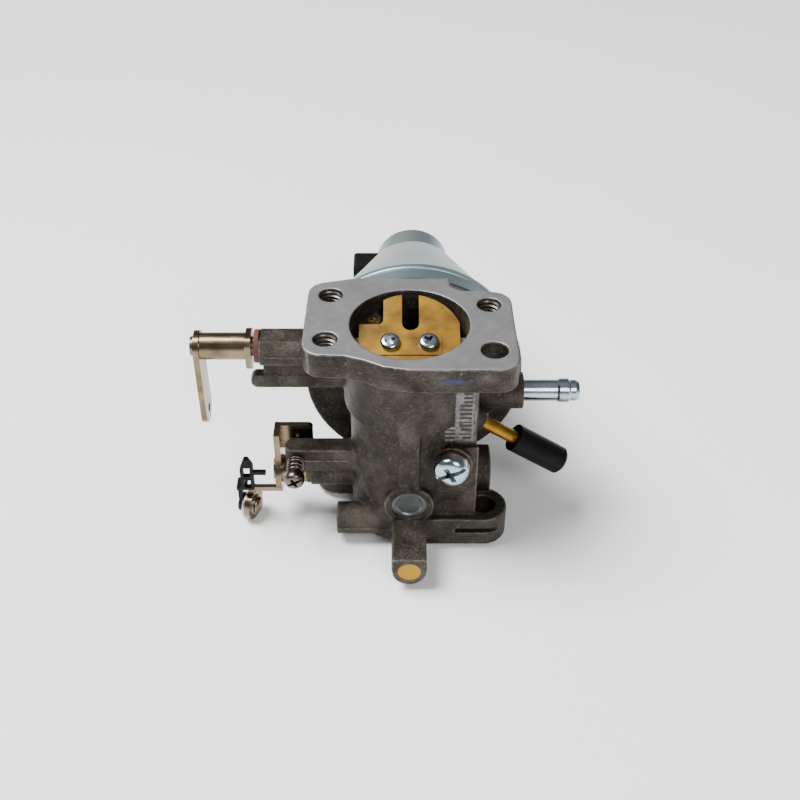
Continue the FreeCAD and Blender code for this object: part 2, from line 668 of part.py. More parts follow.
def bowl_parts():
    at = ("bowl_x", "0", "bowl_height")
    face = "deck_end+gasket_thick"
    inner = "bowl_radius-bowl_wall"
    node("bowl_gasket", ring("bowl_radius-2.5", "bowl_radius", "gasket_thick",
                             ("bowl_x", "deck_end", "bowl_height"), "y"))
    node("float_bowl", turned([
        ("bowl_radius-2.6", face), ("bowl_rim_radius", face), ("bowl_rim_radius", face + "+2.2"),
        ("bowl_radius", face + "+2.2"), ("bowl_radius", "bowl_shoulder"),
        ("bowl_radius-2.2", "bowl_shoulder+4"),
        ("bowl_floor_radius+1.5", "bowl_floor-2.4"), ("bowl_floor_radius-0.6", "bowl_floor"),
        ("neck_radius", "bowl_floor"), ("neck_radius", "bowl_floor-bowl_wall"),
        ("bowl_floor_radius-1.4", "bowl_floor-bowl_wall"), ("bowl_floor_radius", "bowl_floor-3.2"),
        (inner + "-2.4", "bowl_shoulder+3"), (inner, "bowl_shoulder-0.6"), (inner, face + "+1.2"),
        ("bowl_radius-2.6", face + "+1.2")], at, "y"))
    node("bowl_washer", ring("neck_radius", "8", "1", ("bowl_x", "bowl_floor", "bowl_height"), "y"))
    base = "bowl_floor+1"
    node("solenoid_body", turned([
        ("1.9", "60.2"), ("3", "60.2"), ("neck_radius-0.02", "61.4"), ("neck_radius-0.02", base),
        ("solenoid_radius-1", base), ("solenoid_radius", base + "+1"), ("solenoid_radius", "solenoid_end-1"),
        ("solenoid_radius-1", "solenoid_end"), ("0", "solenoid_end"), ("0", "76.5"), ("1.9", "76.5")],
        at, "y"))
    node("solenoid_plunger", rod([("0.9", "54.6", "59"), ("1.8", "59", "74")], at, "y"))
    shell = plate([("-17.2", "25"), ("-8.4", "25"), ("-8.4", "34.2"), ("-17.2", "34.2")],
                  "xz", "-79.4", "8", 1)
    can = cylinder("solenoid_radius", "14", ("bowl_x", "69", "bowl_height"), "y")
    node("solenoid_connector", cut(shell, can, block(("-18", "73", "27"), ("-15", "78", "32"))))
    node("main_nozzle", turned([("1.1", "3.4"), ("1.9", "3.4"), ("1.9", "8.6"), ("nozzle_radius", "8.6"),
                                ("nozzle_radius", "49"), ("1.1", "49")], at, "y"))
    node("main_jet", ring("0.75", "nozzle_radius", "4.6", ("bowl_x", "49.2", "bowl_height"), "y"))
    node("pilot_jet", turned([("0.3", "15"), ("1.5", "15"), ("1.5", "21"), ("2.2", "21"), ("2.2", "23"),
                              ("0.3", "23")], ("-8", "0", "bowl_height"), "y"))


def float_parts():
    at = ("needle_x", "0", "inlet_height")
    node("needle_seat", turned([("0.8", "inlet_y+3.6"), ("seat_radius", "inlet_y+3.6"),
                                ("seat_radius", "deck_end+1"), ("needle_radius+0.05", "deck_end+1"),
                                ("needle_radius+0.05", "inlet_y+5.2"), ("0.8", "inlet_y+4.4")], at, "y"))
    node("needle_valve", turned([("0", "inlet_y+4.8"), ("needle_radius", "inlet_y+6.6"),
                                 ("needle_radius", "pin_y-2.3"), ("0", "pin_y-2.3")], at, "y"))
    node("float_pin", rod([("pin_radius", "0", "13.4")], ("pin_x", "pin_y", "inlet_height-6.7"), "z"))
    drum = ring("post_radius+3", "20.6", "12", ("bowl_x", "29.5", "bowl_height"), "y")
    arm = block(("13", "pin_y+0.6", "inlet_height-3"), ("pin_x", "pin_y+2", "inlet_height+3"))
    foot = block(("12.6", "pin_y+0.6", "inlet_height-3"), ("17", "31", "inlet_height+3"))
    tang = block(("needle_x-2.2", "pin_y-2", "inlet_height-1.6"),
                 ("needle_x+2.2", "pin_y+1", "inlet_height+1.6"))
    knuckle = cylinder("2", "6", ("pin_x", "pin_y", "inlet_height-3"), "z")
    hole = cylinder("pin_radius+0.04", "8", ("pin_x", "pin_y", "inlet_height-4"), "z")
    node("float", cut(fuse(drum, arm, foot, tang, knuckle), hole))


def check_and_export():
    doc.recompute()
    for item in doc.Objects:
        if "Invalid" in item.State or "Error" in item.State:
            raise RuntimeError("failed: %s %s" % (item.Name, item.State))
    for name, item in nodes.items():
        shape = item.Shape
        if shape.isNull() or not shape.isValid() or not shape.Solids:
            raise RuntimeError("bad shape: " + name)
        print("%-22s %2d solids %10.1f mm3" % (name, len(shape.Solids), shape.Volume))
        shape.exportStep("parts/%s.step" % name)


node("carburetor_body", carburetor_body())
choke_parts()
throttle_parts()
node("linkage_clip", linkage_clip())
screw_parts()
fuel_parts()
bowl_parts()
float_parts()
check_and_export()
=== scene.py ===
import json
import math
import random

import bmesh
import bpy
from mathutils import Matrix, Vector


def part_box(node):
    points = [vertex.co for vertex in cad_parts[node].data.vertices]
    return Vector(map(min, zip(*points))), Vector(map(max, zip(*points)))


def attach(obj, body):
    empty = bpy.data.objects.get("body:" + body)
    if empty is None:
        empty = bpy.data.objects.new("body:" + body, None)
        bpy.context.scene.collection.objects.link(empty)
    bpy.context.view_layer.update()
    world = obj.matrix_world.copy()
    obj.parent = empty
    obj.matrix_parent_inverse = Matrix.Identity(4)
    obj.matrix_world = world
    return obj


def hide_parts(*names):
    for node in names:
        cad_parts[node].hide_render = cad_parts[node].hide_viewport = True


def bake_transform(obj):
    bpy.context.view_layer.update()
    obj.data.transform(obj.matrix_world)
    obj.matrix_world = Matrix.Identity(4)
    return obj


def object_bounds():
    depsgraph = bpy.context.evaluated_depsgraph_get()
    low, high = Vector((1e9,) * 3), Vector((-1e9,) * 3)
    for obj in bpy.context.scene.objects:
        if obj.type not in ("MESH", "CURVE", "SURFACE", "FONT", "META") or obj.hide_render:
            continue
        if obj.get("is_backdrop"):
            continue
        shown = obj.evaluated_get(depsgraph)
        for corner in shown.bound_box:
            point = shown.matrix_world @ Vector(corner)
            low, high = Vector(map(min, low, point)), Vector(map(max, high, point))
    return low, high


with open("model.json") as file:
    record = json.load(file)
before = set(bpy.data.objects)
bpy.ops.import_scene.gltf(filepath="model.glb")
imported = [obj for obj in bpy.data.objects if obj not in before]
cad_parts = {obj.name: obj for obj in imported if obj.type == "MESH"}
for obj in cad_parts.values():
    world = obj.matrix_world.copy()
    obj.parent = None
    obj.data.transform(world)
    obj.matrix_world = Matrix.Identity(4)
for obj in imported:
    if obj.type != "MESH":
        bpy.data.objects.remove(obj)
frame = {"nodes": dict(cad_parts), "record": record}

MM = 0.001
LOW, HIGH = (Vector(corner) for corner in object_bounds())

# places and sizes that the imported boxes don't give directly
CHOKE_TILT = math.radians(19)
THROTTLE_TILT = math.radians(-8)
PLATE_SCREW_OFFSET = 4.9 * MM
PASSAGE_AXIS = Vector((-0.1736, -0.9848, 0))
# where the casting's colour changes: the depth of a machined face, the bore, which is darkened with painted
# shade, and the barrel's outside, past which edges are lightened as wear and painted highlight
MACHINED_SKIN = 0.07 * MM
BORE_LIMIT = 15.15 * MM
BARREL_LIMIT = 17.4 * MM


def joint(name):
    return [item for item in frame["record"]["behaviour"]["joints"] if item["name"] == name][0]


def mount(name):
    return [item for item in frame["record"]["mounts"] if item["name"] == name][0]


CHOKE_AT = Vector(joint("choke_turn")["pos_m"])
THROTTLE_AT = Vector(joint("throttle_turn")["pos_m"])
FACE_HEIGHT = mount("air_cleaner_face")["pos_m"][2]


def box(name):
    """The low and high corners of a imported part's box."""
    return [Vector(corner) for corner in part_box(name)]


# ---------------------------------------------------------------- materials
class Shader:
    """A Principled material with its node tree, and short calls for the nodes that it uses."""

    def __init__(self, name, metallic=0.0, specular=0.5):
        self.material = bpy.data.materials.new(name)
        self.material.use_nodes = True
        self.tree = self.material.node_tree
        self.surface = self.tree.nodes["Principled BSDF"]
        self.surface.inputs["Metallic"].default_value = metallic
        self.surface.inputs["Specular IOR Level"].default_value = specular
        self.place = self.tree.nodes.new("ShaderNodeTexCoord").outputs["Object"]

    def join(self, source, target):
        self.tree.links.new(source, target)

    def stretched(self, x, y, z):
        node = self.tree.nodes.new("ShaderNodeMapping")
        node.inputs["Scale"].default_value = (x, y, z)
        self.join(self.place, node.inputs["Vector"])
        return node.outputs["Vector"]

    def noise(self, scale, detail=4.0, roughness=0.55, vector=None):
        node = self.tree.nodes.new("ShaderNodeTexNoise")
        node.inputs["Scale"].default_value = scale
        node.inputs["Detail"].default_value = detail
        node.inputs["Roughness"].default_value = roughness
        self.join(vector or self.place, node.inputs["Vector"])
        return node.outputs["Fac"]

    def ramp(self, factor, *stops):
        node = self.tree.nodes.new("ShaderNodeValToRGB")
        band = node.color_ramp
        while len(band.elements) < len(stops):
            band.elements.new(0.5)
        for element, (position, colour) in zip(band.elements, stops):
            element.position = position
            element.color = (*colour, 1)
        self.join(factor, node.inputs["Fac"])
        return node.outputs["Color"]

    def span(self, factor, low, high, from_low=0.3, from_high=0.7):
        node = self.tree.nodes.new("ShaderNodeMapRange")
        node.inputs["From Min"].default_value = from_low
        node.inputs["From Max"].default_value = from_high
        node.inputs["To Min"].default_value = low
        node.inputs["To Max"].default_value = high
        self.join(factor, node.inputs["Value"])
        return node.outputs["Result"]

    def math(self, operation, first, second=0.0):
        node = self.tree.nodes.new("ShaderNodeMath")
        node.operation = operation
        for socket, item in zip(node.inputs, (first, second)):
            if isinstance(item, (int, float)):
                socket.default_value = item
            else:
                self.join(item, socket)
        return node.outputs["Value"]

    def blend(self, factor, first, second):
        node = self.tree.nodes.new("ShaderNodeMix")
        node.data_type = "RGBA"
        self.join(factor, node.inputs["Factor"])
        self.join(first, node.inputs["A"])
        self.join(second, node.inputs["B"])
        return node.outputs["Result"]

    def colour(self, socket):
        self.join(socket, self.surface.inputs["Base Color"])

    def gloss(self, socket):
        self.join(socket, self.surface.inputs["Roughness"])

    def bumps(self, *layers):
        """Each layer is (height, distance in metres, strength)."""
        normal = None
        for height, distance, strength in layers:
            node = self.tree.nodes.new("ShaderNodeBump")
            node.inputs["Distance"].default_value = distance
            node.inputs["Strength"].default_value = strength
            self.join(height, node.inputs["Height"])
            if normal:
                self.join(normal, node.inputs["Normal"])
            normal = node.outputs["Normal"]
        self.join(normal, self.surface.inputs["Normal"])


RAMP_START = 0.3
RAMP_SPREAD = 0.4
GRAIN_STRENGTH = 0.6
MOTTLE_STRENGTH = 0.25


def finish(name, colours, gloss, metallic=0.0, grain=900, bump=0.02, mottle=120, stretch=(1, 1, 1),
           specular=0.5):
    """A finish whose colour wanders between its colours, with a grain that may be drawn out."""
    shade = Shader(name, metallic, specular)
    step = RAMP_SPREAD / max(1, len(colours) - 1)
    cloud = shade.noise(mottle)
    shade.colour(shade.ramp(cloud, *[(RAMP_START + step * i, item) for i, item in enumerate(colours)]))
    fine = shade.noise(grain, detail=3.0, roughness=0.6, vector=shade.stretched(*stretch))
    shade.gloss(shade.span(fine, *gloss))
    shade.bumps((fine, bump * MM, GRAIN_STRENGTH), (cloud, bump * 2 * MM, MOTTLE_STRENGTH))
    return shade.material


def cast_alloy():
    """Die-cast skin with convex edges lightened as edge wear and painted highlight, machined metal on the
    two mounting faces, and painted shade darkening the bore.
    """
    shade = Shader("cast_alloy", metallic=0.75, specular=0.35)
    split = shade.tree.nodes.new("ShaderNodeSeparateXYZ")
    shade.join(shade.place, split.inputs["Vector"])
    x, y, z = (split.outputs[letter] for letter in "XYZ")
    square = shade.math("ADD", shade.math("MULTIPLY", x, x), shade.math("MULTIPLY", y, y))
    radius = shade.math("SQRT", square)
    on_face = shade.math("GREATER_THAN", z, FACE_HEIGHT - MACHINED_SKIN)
    on_foot = shade.math("LESS_THAN", z, MACHINED_SKIN)
    in_bore = shade.math("LESS_THAN", radius, BORE_LIMIT)
    machined = shade.math("MAXIMUM", on_face, on_foot)

    cloud = shade.noise(110, detail=6.0, roughness=0.68)
    stain = shade.noise(420, detail=5.0, roughness=0.7)
    pits = shade.noise(1500, detail=4.0, roughness=0.75)
    skin = shade.ramp(cloud, (0.34, (0.014, 0.0105, 0.008)), (0.50, (0.038, 0.031, 0.025)),
                      (0.66, (0.085, 0.072, 0.060)))
    flecks = shade.ramp(pits, (0.48, (0.022, 0.0175, 0.0135)), (0.70, (0.24, 0.21, 0.18)))
    fleck_share = shade.span(stain, 0.0, 0.6, from_low=0.44, from_high=0.66)
    skin = shade.blend(fleck_share, skin, flecks)
    # painted shade: the bore is coloured darker than the skin, standing in for shade inside the hole
    bore_painted_shade = shade.ramp(stain, (0.3, (0.014, 0.012, 0.01)), (0.7, (0.05, 0.045, 0.04)))
    cut_metal = shade.ramp(cloud, (0.3, (0.25, 0.25, 0.253)), (0.7, (0.32, 0.32, 0.32)))
    # sharp edges found by pointiness are lightened in patches: partly edge wear, partly a painted highlight
    # along the edges
    edge = shade.tree.nodes.new("ShaderNodeNewGeometry").outputs["Pointiness"]
    patches = shade.noise(330, detail=5.0, roughness=0.75)
    patchy = shade.span(patches, 0.25, 1.0, from_low=0.38, from_high=0.58)
    off_barrel = shade.math("GREATER_THAN", radius, BARREL_LIMIT)
    sharp = shade.span(edge, 0.0, 0.95, from_low=0.514, from_high=0.56)
    edge_wear_and_highlight = shade.math("MULTIPLY", shade.math("MULTIPLY", sharp, patchy), off_barrel)
    edge_wear_and_highlight_colour = shade.ramp(stain, (0.35, (0.08, 0.07, 0.06)), (0.65, (0.27, 0.25, 0.225)))
    skin = shade.blend(edge_wear_and_highlight, skin, edge_wear_and_highlight_colour)
    shade.colour(shade.blend(machined, shade.blend(in_bore, skin, bore_painted_shade), cut_metal))

    rough_skin = shade.span(pits, 0.34, 0.56)
    rough_cut = shade.span(stain, 0.36, 0.48)
    gap = shade.math("SUBTRACT", rough_cut, rough_skin)
    shade.gloss(shade.math("ADD", rough_skin, shade.math("MULTIPLY", gap, machined)))
    milling = shade.noise(2600, detail=2.0, roughness=0.5, vector=shade.stretched(1, 0.08, 1))
    kept = shade.math("SUBTRACT", 1.0, machined)
    shade.bumps((shade.math("MULTIPLY", pits, kept), 0.3 * MM, 0.9),
                (shade.math("MULTIPLY", stain, kept), 0.7 * MM, 0.8),
                (shade.math("MULTIPLY", milling, machined), 0.015 * MM, 0.5))
    return shade.material


def label_metal():
    """The lighter, rough and speckled field of the label."""
    shade = Shader("label_metal", metallic=0.5)
    speck = shade.noise(900, detail=4.0, roughness=0.7)
    shade.colour(shade.ramp(speck, (0.36, (0.07, 0.065, 0.058)), (0.6, (0.22, 0.21, 0.195))))
    shade.gloss(shade.span(speck, 0.45, 0.7))
    shade.bumps((speck, 0.12 * MM, 0.8))
    return shade.material


# colours are linear RGB, darkest first; gloss is the range of roughness; grain and mottle are noise
# scales; bump is in mm; stretch scales the grain along x, y and z
FINISHES = {
    "brass": dict(colours=[(0.20, 0.095, 0.009), (0.40, 0.215, 0.025)], gloss=(0.26, 0.42), metallic=0.9,
                  stretch=(1, 1, 4), bump=0.015),
    "gold_passivate": dict(colours=[(0.075, 0.032, 0.0002), (0.19, 0.094, 0.0004), (0.30, 0.165, 0.001)],
                           gloss=(0.34, 0.50), metallic=0.45, stretch=(0.4, 5, 1), mottle=140, bump=0.03),
    "bright_zinc": dict(colours=[(0.30, 0.37, 0.43), (0.50, 0.56, 0.61)], gloss=(0.14, 0.26),
                        metallic=1.0, stretch=(0.5, 3, 3), bump=0.01, mottle=200),
    "zinc_steel": dict(colours=[(0.21, 0.30, 0.35), (0.31, 0.39, 0.41), (0.40, 0.39, 0.25)],
                       gloss=(0.34, 0.42), metallic=0.88, grain=2400, stretch=(1, 1, 1), bump=0.006,
                       mottle=26),
    "nickel_plate": dict(colours=[(0.12, 0.085, 0.048), (0.27, 0.21, 0.135)], gloss=(0.18, 0.30),
                         metallic=1.0, grain=700, stretch=(0.3, 2, 2), bump=0.012, mottle=150),
    "steel": dict(colours=[(0.09, 0.075, 0.06), (0.23, 0.20, 0.165)], gloss=(0.22, 0.36), metallic=1.0,
                  stretch=(0.2, 1, 1), bump=0.012),
    "welch_grey": dict(colours=[(0.10, 0.105, 0.11), (0.17, 0.18, 0.18)], gloss=(0.34, 0.48),
                       metallic=0.8, bump=0.02),
    "copper": dict(colours=[(0.24, 0.085, 0.035), (0.46, 0.19, 0.09)], gloss=(0.28, 0.42), metallic=1.0,
                   bump=0.02),
    "felt_seal": dict(colours=[(0.04, 0.009, 0.003), (0.12, 0.03, 0.012)], gloss=(0.6, 0.85),
                      grain=2400, bump=0.08),
    "seal_bronze": dict(colours=[(0.03, 0.022, 0.012), (0.075, 0.056, 0.028)], gloss=(0.35, 0.55),
                        metallic=0.8),
    "black_plastic": dict(colours=[(0.002, 0.002, 0.002), (0.006, 0.006, 0.0065)], gloss=(0.4, 0.55),
                          grain=1500, bump=0.03, specular=0.12),
    "black_rubber": dict(colours=[(0.0012, 0.0012, 0.0012), (0.004, 0.004, 0.004)], gloss=(0.36, 0.55),
                         grain=1800, bump=0.05, mottle=220, specular=0.12),
    "gasket": dict(colours=[(0.045, 0.042, 0.038), (0.09, 0.085, 0.075)], gloss=(0.7, 0.9),
                   grain=2600, bump=0.06),
    "float_foam": dict(colours=[(0.012, 0.012, 0.012), (0.04, 0.038, 0.035)], gloss=(0.6, 0.85),
                       grain=1600, bump=0.12),
    "valve_rubber": dict(colours=[(0.03, 0.026, 0.022), (0.07, 0.06, 0.05)], gloss=(0.45, 0.65)),
    "bush_steel": dict(colours=[(0.30, 0.29, 0.27), (0.48, 0.47, 0.44)], gloss=(0.28, 0.42),
                       metallic=1.0, bump=0.02),
    "thread_metal": dict(colours=[(0.06, 0.052, 0.044), (0.20, 0.185, 0.165)], gloss=(0.3, 0.45),
                         metallic=0.9, bump=0.02),
    "dark_print": dict(colours=[(0.008, 0.0075, 0.007), (0.02, 0.019, 0.018)], gloss=(0.5, 0.7), grain=2400,
                       bump=0.03),
    "blue_ink": dict(colours=[(0.003, 0.005, 0.025), (0.006, 0.012, 0.07)], gloss=(0.35, 0.6), grain=3000,
                     bump=0.01, mottle=900),
}


def make_materials():
    made = {name: finish(name, **facts) for name, facts in FINISHES.items()}
    made["cast_alloy"] = cast_alloy()
    made["label_metal"] = label_metal()
    return made


MATERIALS = make_materials()


def paint(obj, name):
    obj.data.materials.clear()
    obj.data.materials.append(MATERIALS[name])
    return obj


# ---------------------------------------------------------------- mesh helpers
SMOOTH_ANGLE = 35
AXIS_RADIUS = 1e-9
COIL_STEPS = 28
WIRE_SIDES = 10
CLOSED_SHARE = 0.12
EASED_SHARE = 0.35
THREAD_STEPS = 36
LEAST_FADE = 0.06


def smoothed(mesh, angle):
    mesh.shade_smooth()
    mesh.set_sharp_from_angle(angle=math.radians(angle))


def circle(steps):
    """Angles evenly round a full turn."""
    return [2 * math.pi * i / steps for i in range(steps)]


def mesh_object(name, shape, smooth_angle=SMOOTH_ANGLE):
    """Turn a bmesh into an object; a smooth angle of None leaves its faces flat."""
    mesh = bpy.data.meshes.new(name)
    bmesh.ops.recalc_face_normals(shape, faces=shape.faces)
    shape.to_mesh(mesh)
    shape.free()
    obj = bpy.data.objects.new(name, mesh)
    bpy.context.scene.collection.objects.link(obj)
    if smooth_angle:
        smoothed(mesh, smooth_angle)
    return obj


def applied(obj, smooth_angle=SMOOTH_ANGLE):
    """Bake an object's modifiers into its own mesh."""
    graph = bpy.context.evaluated_depsgraph_get()
    mesh = bpy.data.meshes.new_from_object(obj.evaluated_get(graph))
    obj.modifiers.clear()
    obj.data = mesh
    if smooth_angle:
        smoothed(mesh, smooth_angle)
    return obj


def aim(axis):
    """A rotation that turns +Z to the axis."""
    return Vector((0, 0, 1)).rotation_difference(Vector(axis).normalized()).to_matrix().to_4x4()


def at(place, axis=(0, 0, 1)):
    return Matrix.Translation(Vector(place)) @ aim(axis)


def lathe(shape, profile, matrix, steps=48):
    """Sweep a closed outline of (radius, height) round the local Z axis."""
    rings = []
    for radius, height in profile:
        if radius < AXIS_RADIUS:
            rings.append([shape.verts.new(matrix @ Vector((0, 0, height)))])
            continue
        spots = [Vector((radius * math.cos(a), radius * math.sin(a), height)) for a in circle(steps)]
        rings.append([shape.verts.new(matrix @ spot) for spot in spots])
    for lower, upper in zip(rings, rings[1:] + rings[:1]):
        if len(lower) == 1 and len(upper) == 1:
            continue
        for i in range(steps):
            j = (i + 1) % steps
            corners = [lower[i % len(lower)], lower[j % len(lower)], upper[j % len(upper)],
                       upper[i % len(upper)]]
            # a ring on the axis has one vertex, so the face there is a triangle
            shape.faces.new(list(dict.fromkeys(corners)))


def joined(shape, rings):
    """Skin a row of equal vertex rings and close both ends."""
    for first, second in zip(rings, rings[1:]):
        for k in range(len(first)):
            after = (k + 1) % len(first)
            shape.faces.new([first[k], first[after], second[after], second[k]])
    shape.faces.new(rings[0])
    shape.faces.new(rings[-1])


def coil(shape, matrix, radius, wire, length, turns):
    """A round wire wound round the local Z axis from z = 0, with its end turns closer together."""
    count = int(turns * COIL_STEPS)
    rings = []
    for i in range(count + 1):
        share = i / count
        opened = min(1.0, max(0.0, (share - CLOSED_SHARE) / (1 - 2 * CLOSED_SHARE)))
        eased = 0.5 - 0.5 * math.cos(math.pi * opened)
        climb = EASED_SHARE * eased + (1 - EASED_SHARE) * share
        height = wire + (length - 2 * wire) * climb
        angle = 2 * math.pi * turns * share
        out = Vector((math.cos(angle), math.sin(angle), 0))
        centre = out * radius + Vector((0, 0, height))
        spots = [centre + out * wire * math.cos(b) + Vector((0, 0, wire * math.sin(b)))
                 for b in circle(WIRE_SIDES)]
        rings.append([shape.verts.new(matrix @ spot) for spot in spots])
    joined(shape, rings)


def thread(shape, matrix, root, crest, pitch, start, end):
    """One helical ridge from the root radius to the crest radius; a crest inside the root is a nut's."""
    turns = (end - start - pitch) / pitch
    count = int(turns * THREAD_STEPS)
    rings = []
    for i in range(count + 1):
        angle = 2 * math.pi * i / THREAD_STEPS
        height = start + pitch * i / THREAD_STEPS
        fade = min(1.0, i / THREAD_STEPS, (count - i) / THREAD_STEPS)
        tip = root + (crest - root) * max(LEAST_FADE, fade)
        out = Vector((math.cos(angle), math.sin(angle), 0))
        # the ridge's section: (radius, share of the pitch)
        section = ((root, 0.04), (tip, 0.42), (tip, 0.58), (root, 0.96))
        spots = [out * radius + Vector((0, 0, height + share * pitch)) for radius, share in section]
        rings.append([shape.verts.new(matrix @ spot) for spot in spots])
    joined(shape, rings)


def wedge_bar(shape, matrix, length, width, depth, taper):
    """A bar that narrows downwards through the local plane z = 0, for a driver recess."""
    proud = depth * 0.4
    corners = []
    for level, share in ((proud, 1.0), (-depth, taper)):
        for x, y in ((-1, -1), (1, -1), (1, 1), (-1, 1)):
            corners.append(shape.verts.new(matrix @ Vector((x * length / 2 * share, y * width / 2, level))))
    for ring in ((0, 3, 2, 1), (4, 5, 6, 7), (0, 1, 5, 4), (1, 2, 6, 5), (2, 3, 7, 6), (3, 0, 4, 7)):
        shape.faces.new([corners[i] for i in ring])


def carve(obj, tools):
    """Cut each tool out of the object, and drop the tools."""
    for tool in tools:
        step = obj.modifiers.new("Cut", "BOOLEAN")
        step.operation = "DIFFERENCE"
        step.object = tool
        step.solver = "EXACT"
    applied(obj)
    for tool in tools:
        bpy.data.objects.remove(tool)
    return obj


def soften(obj, width, segments=2):
    """Round an object's sharp edges with a bevel."""
    step = obj.modifiers.new("Soften", "BEVEL")
    step.width = width
    step.segments = segments
    step.limit_method = "ANGLE"
    step.angle_limit = math.radians(40)
    step.harden_normals = True
    return obj


def show(obj, finish_name, body, *replaced):
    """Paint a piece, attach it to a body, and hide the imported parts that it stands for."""
    paint(obj, finish_name)
    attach(obj, body)
    if replaced:
        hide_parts(*replaced)
    return obj


# ---------------------------------------------------------------- CAD parts
ROUNDED_NODES = ("choke_arm", "choke_stop_plate", "choke_plate", "throttle_lever", "linkage_clip",
                 "solenoid_connector")
EDGE_BREAK = 0.18 * MM
VOXEL = 0.3 * MM
MACHINED_EDGE = 0.45 * MM
MACHINED_BORE = 15.3 * MM
MACHINED_ROUNDING = 0.25


def paint_cad_nodes():
    for item in frame["record"]["subparts"]:
        paint(frame["nodes"][item["node"]], item["material_slot"])
    for name in ROUNDED_NODES:
        soften(frame["nodes"][name], EDGE_BREAK)


def casting():
    """The casting with a die casting's rounded edges and inner corners, kept crisper where machined."""
    source = frame["nodes"]["carburetor_body"]
    obj = bpy.data.objects.new("casting", source.data.copy())
    bpy.context.scene.collection.objects.link(obj)
    skin = obj.modifiers.new("Skin", "REMESH")
    skin.mode = "VOXEL"
    skin.voxel_size = VOXEL
    applied(obj, None)
    group = obj.vertex_groups.new(name="cast")
    for vertex in obj.data.vertices:
        x, y, z = vertex.co
        on_face = z > FACE_HEIGHT - MACHINED_EDGE or z < MACHINED_EDGE
        machined = on_face or math.hypot(x, y) < MACHINED_BORE
        group.add([vertex.index], MACHINED_ROUNDING if machined else 1.0, "REPLACE")
    rounding = obj.modifiers.new("Rounding", "SMOOTH")
    rounding.factor = 0.6
    rounding.iterations = 3
    rounding.vertex_group = "cast"
    applied(obj, None)
    obj.data.shade_smooth()
    return show(obj, "cast_alloy", "root", "carburetor_body")


# ---------------------------------------------------------------- screws
# shares of a screw head's radius
RECESS_LENGTH = 1.25
RECESS_WIDTH = 0.30
RECESS_DEPTH = 0.55
RECESS_TAPER = 0.45
SLOT_LENGTH = 2.4
SLOT_WIDTH = 0.24
CROWN = 0.55
NECK = 0.94
# a share of its height, and the steps of its dome
LIP = 0.42
DOME_STEPS = 7
# the shank
POINT = 0.8
POINT_LENGTH = 0.3 * MM
HEAD_CHAMFER = 0.12 * MM
THREAD_SUNK = 0.02 * MM
THREAD_PROUD = 0.16 * MM


def driver_tools(matrix, radius, slot=False):
    """The cutters of a cross recess, and of a full slot where the head has one too."""
    sizes = [(turn, RECESS_LENGTH, RECESS_WIDTH, RECESS_DEPTH, RECESS_TAPER) for turn in (0, math.pi / 2)]
    if slot:
        sizes.append((0, SLOT_LENGTH, SLOT_WIDTH, SLOT_WIDTH, 1.0))
    bars = []
    for turn, length, width, depth, taper in sizes:
        tool = bmesh.new()
        spun = matrix @ Matrix.Rotation(turn, 4, "Z")
        wedge_bar(tool, spun, radius * length, radius * width, radius * depth, taper)
        bars.append(mesh_object("tool", tool, None))
    return bars


def pan_screw(name, matrix, head_radius, head_start, head_height, shank_radius, shank_start, slot=False,
              turn=0.0, pitch=0.5 * MM):
    """A domed screw with a cross recess and a threaded shank, along the matrix's local Z."""
    shape = bmesh.new()
    top = head_start + head_height
    lip = head_height * LIP
    profile = [(0, shank_start), (shank_radius * POINT, shank_start),
               (shank_radius, shank_start + POINT_LENGTH), (shank_radius, head_start),
               (head_radius * NECK, head_start), (head_radius, head_start + HEAD_CHAMFER),
               (head_radius, head_start + lip)]
    for step in range(1, DOME_STEPS):
        angle = math.radians(90) * step / DOME_STEPS
        profile.append((head_radius * (CROWN + (1 - CROWN) * math.cos(angle)),
                        head_start + lip + (head_height - lip) * math.sin(angle)))
    profile += [(head_radius * CROWN, top), (0, top)]
    lathe(shape, profile, matrix)
    obj = mesh_object(name, shape)
    crown = matrix @ Matrix.Translation((0, 0, top)) @ Matrix.Rotation(turn, 4, "Z")
    carve(obj, driver_tools(crown, head_radius, slot))
    ridges = bmesh.new()
    ridges.from_mesh(obj.data)
    thread(ridges, matrix, shank_radius - THREAD_SUNK, shank_radius + THREAD_PROUD, pitch,
           shank_start + POINT_LENGTH, head_start)
    ridges.to_mesh(obj.data)
    ridges.free()
    return obj


def plate_screws(name, centre, tilt, head_radius, under_head, body, turns):
    """The two screws that hold a butterfly plate to its shaft."""
    for number, (side, turn) in enumerate(zip((-1, 1), turns), start=1):
        matrix = (Matrix.Translation(centre) @ Matrix.Rotation(tilt, 4, "X")
                  @ Matrix.Translation((side * PLATE_SCREW_OFFSET, 0, 0)))
        screw = pan_screw("%s_%d" % (name, number), matrix, head_radius, under_head,
                          head_height=1.5 * MM, shank_radius=1.4 * MM, shank_start=-2.4 * MM, turn=turn)
        show(screw, "bright_zinc", body, name)


def idle_screw():
    low, high = box("idle_speed_screw")
    centre = (low + high) / 2
    length = high.y - low.y
    matrix = at((centre.x, high.y, centre.z), (0, -1, 0))
    head_height = 2.8 * MM
    screw = pan_screw("idle_speed_screw_detail", matrix, head_radius=2.7 * MM,
                      head_start=length - head_height, head_height=head_height, shank_radius=1.33 * MM,
                      shank_start=0, slot=True, turn=0.5, pitch=0.7 * MM)
    show(screw, "steel", "idle_stop", "idle_speed_screw")


def passage_screw():
    low, high = box("copper_washer")
    washer = 1 * MM
    seat = (low + high) / 2 - PASSAGE_AXIS * washer / 2
    screw = pan_screw("passage_screw_detail", at(seat, PASSAGE_AXIS), head_radius=4.6 * MM,
                      head_start=washer, head_height=3.6 * MM, shank_radius=2.85 * MM,
                      shank_start=-6 * MM, slot=True, turn=0.35, pitch=0.75 * MM)
    show(screw, "bright_zinc", "root", "passage_screw")


